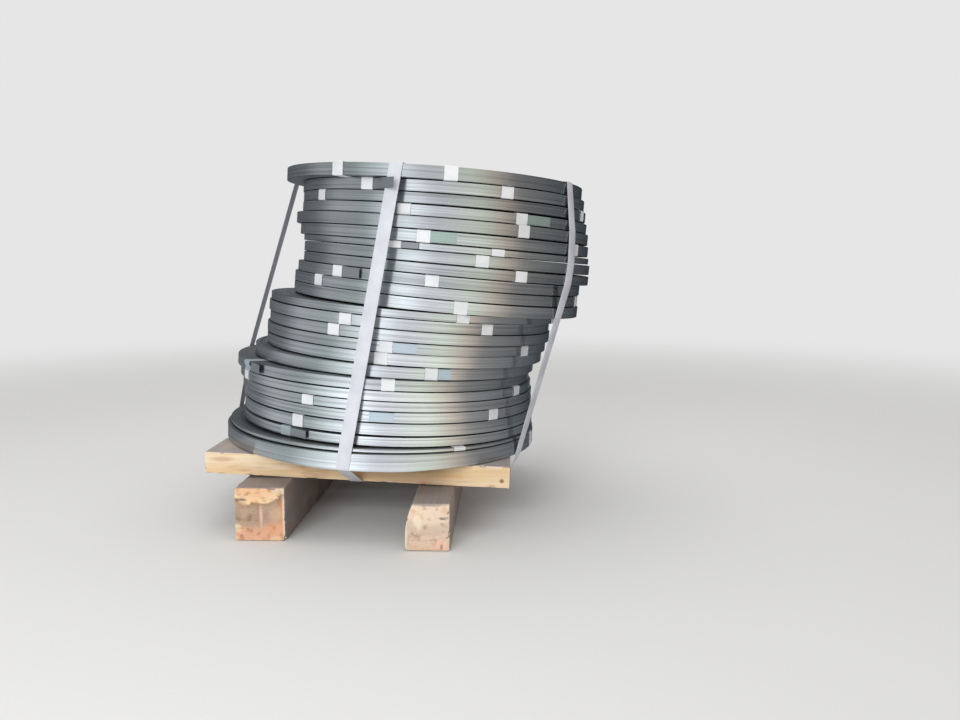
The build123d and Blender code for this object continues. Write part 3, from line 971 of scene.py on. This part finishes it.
def strapping(name, colour):
    """Zinc-coated steel strapping, cold rolled: a satin that scatters light and looks nearly white."""
    material, tree = new_material(name)
    place = add_node(tree, "ShaderNodeTexCoord")
    speck = add_node(
        tree, "ShaderNodeTexNoise", {"Vector": place.outputs["Object"], "Scale": 260.0, "Detail": 3.0}
    )
    cloud = add_node(
        tree, "ShaderNodeTexNoise", {"Vector": place.outputs["Object"], "Scale": 22.0, "Detail": 3.0}
    )
    tone = add_node(
        tree,
        "ShaderNodeValToRGB",
        {"Fac": cloud.outputs["Fac"]},
        stops=[(0.35, shade(colour, 0.88)), (0.6, colour)],
    )
    rough = add_node(
        tree,
        "ShaderNodeMapRange",
        {"Value": cloud.outputs["Fac"], "From Min": 0.3, "From Max": 0.7, "To Min": 0.52, "To Max": 0.66},
    )
    bump = add_node(
        tree, "ShaderNodeBump", {"Height": speck.outputs["Fac"], "Strength": 0.15, "Distance": 0.1 * MM}
    )
    surface = add_node(
        tree,
        "ShaderNodeBsdfPrincipled",
        {
            "Base Color": tone.outputs["Color"],
            "Metallic": 0.3,
            "Roughness": rough.outputs["Result"],
            "Normal": bump.outputs["Normal"],
        },
    )
    add_node(tree, "ShaderNodeOutputMaterial", {"Surface": surface.outputs[0]})
    return material


def spotted(tree, base, place, noise, spots):
    """Lays ragged ovals of other colours over a front face.

    The noise adds about 0.6 to the distance from an oval's middle, which is 1 at its edge, so the colour
    fades out between about 0.6 and 1.3 of its size.
    """
    for x, z, wide, high, colour, share in spots:
        offset = add_node(
            tree, "ShaderNodeVectorMath", {0: place, 1: (x * MM, 0, z * MM)}, operation="SUBTRACT"
        )
        scaled = add_node(
            tree,
            "ShaderNodeVectorMath",
            {0: offset.outputs[0], 1: (1 / (wide * MM), 0, 1 / (high * MM))},
            operation="MULTIPLY",
        )
        away = add_node(tree, "ShaderNodeVectorMath", {0: scaled.outputs[0]}, operation="LENGTH")
        ragged = add_node(
            tree, "ShaderNodeMath", {0: noise, 1: 1.2, 2: away.outputs["Value"]}, operation="MULTIPLY_ADD"
        )
        cover = add_node(
            tree,
            "ShaderNodeMapRange",
            {"Value": ragged.outputs[0], "From Min": 1.2, "From Max": 1.9, "To Min": share, "To Max": 0.0},
        )
        mix = add_node(
            tree,
            "ShaderNodeMix",
            {"Factor": cover.outputs["Result"], "A": base, "B": (*linear(colour), 1)},
            data_type="RGBA",
        )
        base = mix.outputs["Result"]
    return base


def growth_lines(tree, flat, width, along):
    """Dark lines round the pith, one where each year's growth ends."""
    ring = add_node(
        tree,
        "ShaderNodeTexWave",
        {
            "Vector": flat,
            "Scale": WAVE_PERIOD / (width * MM),
            "Distortion": 4.0,
            "Detail": 2.0,
            "Detail Scale": 0.6,
            "Detail Roughness": 0.6,
        },
        wave_type="RINGS",
        rings_direction="X" if along == "x" else "Y",
        wave_profile="SAW",
    )
    line = add_node(
        tree,
        "ShaderNodeValToRGB",
        {"Fac": ring.outputs["Fac"]},
        stops=[(0.0, (1, 1, 1)), (0.55, (0.9, 0.9, 0.9)), (0.93, (0.3, 0.26, 0.22)), (1.0, (1, 1, 1))],
    )
    return line.outputs["Color"]


def grown_wood(tree, place, blotch, wood, along, tint):
    """Zones of colour round the pith and fine dark rings, which show as arcs on ends and lines on faces.

    The noise lies between about 0.3 and 0.7, so it moves the zones out by 15 mm and about 6 mm either way.
    """
    reach = wood["zones"][-1][0] * MM
    begin, width, darkness = wood["rings"]
    flatten = (0.06, 1, 1) if along == "x" else (1, 0.06, 1)
    centred = add_node(tree, "ShaderNodeVectorMath", {0: place, 1: wood["pith"]}, operation="SUBTRACT")
    flat = add_node(
        tree, "ShaderNodeVectorMath", {0: centred.outputs[0], 1: flatten}, operation="MULTIPLY"
    )
    away = add_node(tree, "ShaderNodeVectorMath", {0: flat.outputs[0]}, operation="LENGTH")
    ragged = add_node(
        tree, "ShaderNodeMath", {0: blotch, 1: 30 * MM, 2: away.outputs["Value"]}, operation="MULTIPLY_ADD"
    )
    share = add_node(
        tree,
        "ShaderNodeMapRange",
        {"Value": ragged.outputs[0], "From Min": 15 * MM, "From Max": reach + 15 * MM},
    )
    zones = add_node(
        tree,
        "ShaderNodeValToRGB",
        {"Fac": share.outputs["Result"]},
        stops=[(distance * MM / reach, linear(colour)) for distance, colour in wood["zones"]],
    )
    tinted = add_node(
        tree,
        "ShaderNodeMix",
        {"Factor": 1.0, "A": zones.outputs["Color"], "B": (*tint, 1)},
        data_type="RGBA",
        blend_type="MULTIPLY",
    )
    # The fine rings come in over 20 mm, half of it on either side of where they begin.
    from_here = add_node(
        tree,
        "ShaderNodeMapRange",
        {
            "Value": ragged.outputs[0],
            "From Min": (begin + 5) * MM,
            "From Max": (begin + 25) * MM,
            "To Max": darkness,
        },
    )
    lines = growth_lines(tree, flat.outputs[0], width, along)
    grown = add_node(
        tree,
        "ShaderNodeMix",
        {"Factor": from_here.outputs["Result"], "A": tinted.outputs["Result"], "B": lines},
        data_type="RGBA",
        blend_type="MULTIPLY",
    )
    return grown.outputs["Result"]


def weathered_sides(tree, wood, place, normal, fibre, dust):
    """Lays weathered and dusty wood over the sides, in clouds. The front and back ends keep their colour."""
    side = add_node(tree, "ShaderNodeVectorMath", {0: normal, 1: (0, 1, 0)}, operation="DOT_PRODUCT")
    front = add_node(tree, "ShaderNodeMath", {0: side.outputs["Value"]}, operation="ABSOLUTE")
    weather = add_node(
        tree,
        "ShaderNodeMapRange",
        {"Value": front.outputs[0], "From Min": 0.45, "From Max": 0.8, "To Min": 1.0, "To Max": 0.0},
    )
    cloud = add_node(tree, "ShaderNodeTexNoise", {"Vector": place, "Scale": 14.0, "Detail": 6.0})
    spread = add_node(
        tree,
        "ShaderNodeMapRange",
        {"Value": cloud.outputs["Fac"], "From Min": 0.3, "From Max": 0.6, "To Min": 0.75, "To Max": 1.1},
    )
    grey = add_node(
        tree,
        "ShaderNodeMath",
        {0: weather.outputs["Result"], 1: spread.outputs["Result"]},
        operation="MULTIPLY",
        use_clamp=True,
    )
    dusty = add_node(
        tree,
        "ShaderNodeMix",
        {"Factor": 0.35, "A": (*dust, 1), "B": fibre},
        data_type="RGBA",
        blend_type="OVERLAY",
    )
    aged = add_node(
        tree,
        "ShaderNodeMix",
        {"Factor": grey.outputs[0], "A": wood, "B": dusty.outputs["Result"]},
        data_type="RGBA",
    )
    return aged.outputs["Result"]


def worn_edges_and_painted_crack_shade(tree, wood, pointiness):
    """Lays pale knocked wood on the edges, which stand out, and painted shade in the cracks, which lie deep.
    """
    edge = add_node(
        tree,
        "ShaderNodeMapRange",
        {"Value": pointiness, "From Min": 0.53, "From Max": 0.6, "To Max": 0.55},
    )
    worn = add_node(
        tree,
        "ShaderNodeMix",
        {"Factor": edge.outputs["Result"], "A": wood, "B": (*linear("#efdcc2"), 1)},
        data_type="RGBA",
    )
    # Painted shade: where the surface lies deep, in cracks and hollows, it is painted dark brown
    pit = add_node(
        tree,
        "ShaderNodeMapRange",
        {"Value": pointiness, "From Min": 0.47, "From Max": 0.4, "To Max": 0.85},
    )
    cracks_painted_dark = add_node(
        tree,
        "ShaderNodeMix",
        {"Factor": pit.outputs["Result"], "A": worn.outputs["Result"], "B": (*linear("#3a2b22"), 1)},
        data_type="RGBA",
    )
    return cracks_painted_dark.outputs["Result"]


def sawn_timber(name, wood, tint, weathered, along):
    """Sawn softwood: zones and rings round the pith, duller blotches, and stains and knots on the front.

    Its knocked edges are pale, its cracks are painted dark as shade and its sides are weathered. The ends
    are cut more freshly than the sides, so they keep the wood's own colour.
    """
    material, tree = new_material(name)
    place = add_node(tree, "ShaderNodeTexCoord").outputs["Object"]
    # Fibres are drawn 3 mm apart and 200 mm long, to show. Blotches are 20 mm wide and 125 mm long.
    fibres = (5, 330, 330) if along == "x" else (330, 5, 330)
    patches = (8, 50, 50) if along == "x" else (50, 8, 50)
    fine = add_node(tree, "ShaderNodeMapping", {"Vector": place, "Scale": fibres})
    fibre = add_node(tree, "ShaderNodeTexNoise", {"Vector": fine.outputs[0], "Scale": 1.0, "Detail": 4.0})
    coarse = add_node(tree, "ShaderNodeMapping", {"Vector": place, "Scale": patches})
    blotch = add_node(
        tree, "ShaderNodeTexNoise", {"Vector": coarse.outputs[0], "Scale": 1.0, "Detail": 5.0}
    )
    grown = grown_wood(tree, place, blotch.outputs["Fac"], wood, along, tint)
    dull = add_node(
        tree,
        "ShaderNodeValToRGB",
        {"Fac": blotch.outputs["Fac"]},
        stops=[(0.3, linear("#cdb8a4")), (0.46, (1, 1, 1)), (0.6, (1, 1, 1)), (0.7, linear("#fbe6cf"))],
    )
    blotched = add_node(
        tree,
        "ShaderNodeMix",
        {"Factor": 1.0, "A": grown, "B": dull.outputs["Color"]},
        data_type="RGBA",
        blend_type="MULTIPLY",
    )
    stained = spotted(tree, blotched.outputs["Result"], place, blotch.outputs["Fac"], wood["spots"])
    fibred = add_node(
        tree,
        "ShaderNodeMix",
        {"Factor": 0.35, "A": stained, "B": fibre.outputs["Color"]},
        data_type="RGBA",
        blend_type="SOFT_LIGHT",
    )
    facing = add_node(tree, "ShaderNodeNewGeometry").outputs
    aged = weathered_sides(
        tree, fibred.outputs["Result"], place, facing["Normal"], fibre.outputs["Color"], weathered
    )
    worn = worn_edges_and_painted_crack_shade(tree, aged, facing["Pointiness"])
    bump = add_node(
        tree, "ShaderNodeBump", {"Height": fibre.outputs["Fac"], "Strength": 0.5, "Distance": 0.5 * MM}
    )
    surface = add_node(
        tree,
        "ShaderNodeBsdfPrincipled",
        {"Base Color": worn, "Roughness": 0.85, "Normal": bump.outputs["Normal"]},
    )
    add_node(tree, "ShaderNodeOutputMaterial", {"Surface": surface.outputs[0]})
    return material


# Operators


class BuildCoils(bpy.types.Operator):
    """Winds every slit coil, with its turns on its ends and its strip's free outer end"""

    bl_idname = "coil_load.build_coils"
    bl_label = "Slit coils"

    def execute(self, context):
        zinc, edges = galvanised_strip(), slit_edges()
        # Each seen loose end gets a flat tone that paints its reflection
        ends = {finish: strip_end(finish) for finish in TAIL_REFLECTION_TONES}
        ends["plain"] = zinc
        band_angles = {name: [] for name in COIL_NAMES}
        for node in BAND_NAMES:
            for ring, angle, *_ in bands_of(node):
                band_angles[ring.name].append(math.degrees(angle))
        deck_front = min(node_mesh(name)[0][:, 1].min() for name in PLANK_NAMES)
        for number, name in enumerate(COIL_NAMES):
            ring = RINGS[name]
            ridges = TOP_COIL_RIDGES if name == COIL_NAMES[-1] else END_RIDGES
            behind = max(band_angles[name], key=lambda angle: math.sin(math.radians(angle)))
            hidden = (behind + DEGREES_PAST_BAND, *HIDDEN_TAIL)
            start, length, lift, spring, finish = SEEN_TAILS.get(name, hidden)
            points, *rest = coil_surface(ring, ridges, COIL_SEED + number)
            if name == COIL_NAMES[0]:
                points = sagged(ring, points, deck_front)
            surfaces = [(points, *rest), tail_surface(ring, start, length, lift, spring)]
            materials = [zinc, edges, ends[finish]]
            new_piece(f"{name}_wound", surfaces, materials, replaced=(name,))
        return {"FINISHED"}


class BuildBands(bpy.types.Operator):
    """Folds the short bands through each coil's eye"""

    bl_idname = "coil_load.build_bands"
    bl_label = "Coil bands"

    def execute(self, context):
        straps = settings().straps
        bright = strapping("zinc_coated_band_strapping", tuple(straps.band_colour))
        # The second band material is painted darker, as shade and dark reflection
        dull = strapping("band_strapping_painted_shade", tuple(straps.shade_painted_band_colour))
        for group, node in enumerate(BAND_NAMES):
            surfaces = []
            for number, (ring, angle, *sizes) in enumerate(bands_of(node)):
                shade_painted_at, crumple = SHADE_PAINTED_BANDS.get(ring.name, (None, 0.0))
                is_shade_painted = shade_painted_at is not None and abs(math.degrees(angle) - shade_painted_at) < SHADE_PAINTED_WITHIN
                *surface, kinds = band_surface(ring, angle, *sizes, crumple * is_shade_painted, group * 10 + number)
                surfaces.append((*surface, kinds + is_shade_painted))
            new_piece(f"folded_{node}", surfaces, [bright, dull], replaced=(node,))
        return {"FINISHED"}


class DressLoadStraps(bpy.types.Operator):
    """Gives the load straps their finish and builds their crimped seals"""

    bl_idname = "coil_load.dress_load_straps"
    bl_label = "Load straps and seals"

    def execute(self, context):
        material = strapping("zinc_coated_load_strapping", tuple(settings().straps.colour))
        for name in STRAP_NAMES:
            node = NODES[name]
            node.data.materials.clear()
            node.data.materials.append(material)
            # The modifiers join the mesh's loose triangles and round its edges, where the node is drawn.
            weld = node.modifiers.new("joined_faces", "WELD")
            weld.merge_threshold = 0.01 * MM
            bevel = node.modifiers.new("rolled_edges", "BEVEL")
            bevel.width = 0.25 * MM
            bevel.segments = 2
            bevel.limit_method = "ANGLE"
            bevel.angle_limit = math.radians(50)
        for name in SEAL_NAMES:
            new_piece(f"crimped_{name}", [seal_surface(name)], [material], replaced=(name,))
        return {"FINISHED"}


class BuildSkid(bpy.types.Operator):
    """Saws the deck planks and the bearers"""

    bl_idname = "coil_load.build_skid"
    bl_label = "Timber skid"

    def execute(self, context):
        timber = settings().timber
        grey = tuple(timber.weathered_colour)
        plank_sides = mixed(timber.plank_tint, grey, 0.85)
        pine = sawn_timber("rough_sawn_pine", WOODS["deck_planks"], timber.plank_tint, plank_sides, "x")
        for number, name in enumerate(PLANK_NAMES):
            surface = plank_surface(name, PLANK_SEED + number)
            new_piece(f"sawn_{name}", [surface], [pine], replaced=(name,))
        for number, name in enumerate(BEARER_NAMES):
            softwood = sawn_timber(
                f"weathered_softwood_of_{name}", WOODS[name], timber.bearer_tint, grey, "y"
            )
            surface = bearer_surface(name, BEARER_SEED + 10 * number)
            new_piece(f"sawn_{name}", [surface], [softwood], replaced=(name,))
        return {"FINISHED"}


def card_tones(tree):
    """The cards' colour: one ramp by direction, made brighter low down."""
    place = add_node(tree, "ShaderNodeTexCoord")
    part = add_node(tree, "ShaderNodeSeparateXYZ", {"Vector": place.outputs["Object"]})
    front = add_node(tree, "ShaderNodeMath", {0: part.outputs["Y"], 1: -1.0}, operation="MULTIPLY")
    azimuth = add_node(
        tree, "ShaderNodeMath", {0: part.outputs["X"], 1: front.outputs[0]}, operation="ARCTAN2"
    )
    share = add_node(
        tree,
        "ShaderNodeMapRange",
        {"Value": azimuth.outputs[0], "From Min": -math.pi, "From Max": math.pi},
    )
    stops = [(0.5 + direction / 360, linear(colour)) for direction, colour in CARDS]
    ramp = add_node(tree, "ShaderNodeValToRGB", {"Fac": share.outputs["Result"]}, stops=stops)
    gain = add_node(
        tree,
        "ShaderNodeMapRange",
        {
            "Value": part.outputs["Z"],
            "From Min": LOWER_TONES_TO,
            "From Max": UPPER_TONES_FROM,
            "To Min": LOWER_GAIN,
            "To Max": 1.0,
        },
    )
    tones = add_node(
        tree,
        "ShaderNodeVectorMath",
        {0: ramp.outputs["Color"], "Scale": gain.outputs["Result"]},
        operation="SCALE",
    )
    return tones.outputs["Vector"]


def backdrop_world():
    """A pale backdrop, as bright to the camera and in metal as its colour says, and dimmer as a light."""
    world = bpy.data.worlds.new("pale_backdrop")
    world.use_nodes = True
    tree = world.node_tree
    tree.nodes.clear()
    ray = add_node(tree, "ShaderNodeLightPath")
    seen = add_node(
        tree,
        "ShaderNodeMath",
        {0: ray.outputs["Is Camera Ray"], 1: ray.outputs["Is Glossy Ray"]},
        operation="ADD",
    )
    shown = add_node(
        tree,
        "ShaderNodeMath",
        {0: seen.outputs[0], 1: ray.outputs["Is Transmission Ray"]},
        operation="ADD",
        use_clamp=True,
    )
    strength = add_node(
        tree,
        "ShaderNodeMapRange",
        {"Value": shown.outputs[0], "To Min": BACKDROP_LIGHT, "To Max": 1.0},
    )
    sky = add_node(
        tree,
        "ShaderNodeBackground",
        {"Color": (*settings().stage.backdrop_colour, 1), "Strength": strength.outputs["Result"]},
    )
    add_node(tree, "ShaderNodeOutputWorld", {"Surface": sky.outputs[0]})
    return world


def card_ring():
    """The soft boxes and dark cards: a curved wall and its skirt on the floor, in three rings of points.

    Only gloss shows it, and it casts no shadow.
    """
    columns = 120
    azimuth = np.radians(np.linspace(CARDS[0][0], CARDS[-1][0], columns))
    outward = np.stack([np.sin(azimuth), -np.cos(azimuth), np.zeros(columns)], -1)
    foot = RING_RADIUS * outward + [0, 0, 2 * MM]
    points = np.stack([SKIRT_RADIUS * outward + [0, 0, 2 * MM], foot, foot + [0, 0, RING_HEIGHT]])
    faces = grid_faces(3, columns, False, False)[0]
    mesh = bpy.data.meshes.new("soft_boxes_and_cards")
    mesh.from_pydata(points.reshape(-1, 3), [], faces)
    material, tree = new_material("lit_cloth_and_dark_card")
    light = add_node(
        tree, "ShaderNodeEmission", {"Color": card_tones(tree), "Strength": settings().stage.card_strength}
    )
    add_node(tree, "ShaderNodeOutputMaterial", {"Surface": light.outputs[0]})
    mesh.materials.append(material)
    ring = bpy.data.objects.new("soft_boxes_and_cards", mesh)
    ring.visible_camera = False
    ring.visible_diffuse = False
    ring.visible_shadow = False
    return ring


def paper_floor():
    """A wide floor of matt paper. Far from the load it takes the backdrop's tone, so no horizon shows."""
    stage = settings().stage
    mesh = bpy.data.meshes.new("studio_floor")
    corners = [(x * FLOOR_HALF, y * FLOOR_HALF, 0) for x, y in ((-1, -1), (1, -1), (1, 1), (-1, 1))]
    mesh.from_pydata(corners, [], [(0, 1, 2, 3)])
    material, tree = new_material("matt_studio_paper")
    place = add_node(tree, "ShaderNodeTexCoord")
    away = add_node(tree, "ShaderNodeVectorMath", {0: place.outputs["Object"]}, operation="LENGTH")
    far = add_node(
        tree,
        "ShaderNodeMapRange",
        {"Value": away.outputs["Value"], "From Min": FLOOR_FADES[0], "From Max": FLOOR_FADES[1]},
        interpolation_type="SMOOTHSTEP",
    )
    paper = add_node(
        tree,
        "ShaderNodeBsdfPrincipled",
        {"Base Color": (*stage.floor_colour, 1), "Roughness": 1.0, "Specular IOR Level": 0.0},
    )
    glow = add_node(tree, "ShaderNodeEmission", {"Color": (*stage.backdrop_colour, 1)})
    faded = add_node(
        tree, "ShaderNodeMixShader", {"Fac": far.outputs["Result"], 1: paper.outputs[0], 2: glow.outputs[0]}
    )
    add_node(tree, "ShaderNodeOutputMaterial", {"Surface": faded.outputs[0]})
    mesh.materials.append(material)
    return bpy.data.objects.new("studio_floor", mesh)


def hang_lamps(scene):
    """Hangs the soft boxes as area lamps, each turned towards the middle of the load."""
    for name, place, size, power, colour, mirrored in LAMPS:
        lamp = bpy.data.lights.new(name, "AREA")
        lamp.shape = "RECTANGLE"
        lamp.size, lamp.size_y = size
        lamp.energy = power
        lamp.color = linear(colour)
        light = bpy.data.objects.new(name, lamp)
        light.location = place
        aim = np.array(LAMP_AIM) - np.array(place)
        tilt = math.atan2(math.hypot(aim[0], aim[1]), -aim[2])
        light.rotation_euler = (tilt, 0, math.atan2(-aim[0], aim[1]))
        light.visible_camera = False
        light.visible_glossy = mirrored
        scene.collection.objects.link(light)


def set_camera(scene, stage):
    """Sets the camera in front of the load, a little to its right."""
    camera_data = bpy.data.cameras.new("camera")
    camera_data.lens = stage.lens
    camera_data.sensor_width = 36
    camera = bpy.data.objects.new("camera", camera_data)
    scene.collection.objects.link(camera)
    camera.location = (*CAMERA_FOOT, stage.camera_height)
    camera.rotation_euler = (math.radians(90 - CAMERA_DOWN), 0, math.radians(CAMERA_LEFT))
    scene.camera = camera


class BuildStage(bpy.types.Operator):
    """Lays the studio floor, hangs the lamps and sets the camera"""

    bl_idname = "coil_load.build_stage"
    bl_label = "Studio"

    def execute(self, context):
        scene = context.scene
        for piece in (paper_floor(), card_ring()):
            scene.collection.objects.link(piece)
        hang_lamps(scene)
        scene.world = backdrop_world()
        scene.view_settings.view_transform = "Standard"
        set_camera(scene, settings().stage)
        return {"FINISHED"}


OPERATORS = (BuildCoils, BuildBands, DressLoadStraps, BuildSkid, BuildStage)


class CoilLoadPanel(bpy.types.Panel):
    """Lists the pieces of the load"""

    bl_idname = "VIEW3D_PT_coil_load"
    bl_label = "Coil load"
    bl_space_type = "VIEW_3D"
    bl_region_type = "UI"
    bl_category = "Coil load"

    def draw(self, context):
        load = context.scene.coil_load
        for group in (load.coils, load.straps, load.timber, load.stage):
            box = self.layout.box()
            for key in group.__annotations__:
                box.prop(group, key)
        for operator in OPERATORS:
            self.layout.operator(operator.bl_idname)


SETTINGS = (CoilSettings, StrapSettings, TimberSettings, StageSettings, CoilLoadSettings)
CLASSES = (*SETTINGS, *OPERATORS, CoilLoadPanel)


def register():
    """Adds the classes and the scene's settings to Blender."""
    for one in CLASSES:
        bpy.utils.register_class(one)
    bpy.types.Scene.coil_load = bpy.props.PointerProperty(type=CoilLoadSettings)


def unregister():
    """Takes them out again."""
    del bpy.types.Scene.coil_load
    for one in reversed(CLASSES):
        bpy.utils.unregister_class(one)


def main():
    """Builds the load and its stage."""
    register()
    bpy.ops.coil_load.build_coils()
    bpy.ops.coil_load.build_bands()
    bpy.ops.coil_load.dress_load_straps()
    bpy.ops.coil_load.build_skid()
    bpy.ops.coil_load.build_stage()


if __name__ == "__main__":
    main()
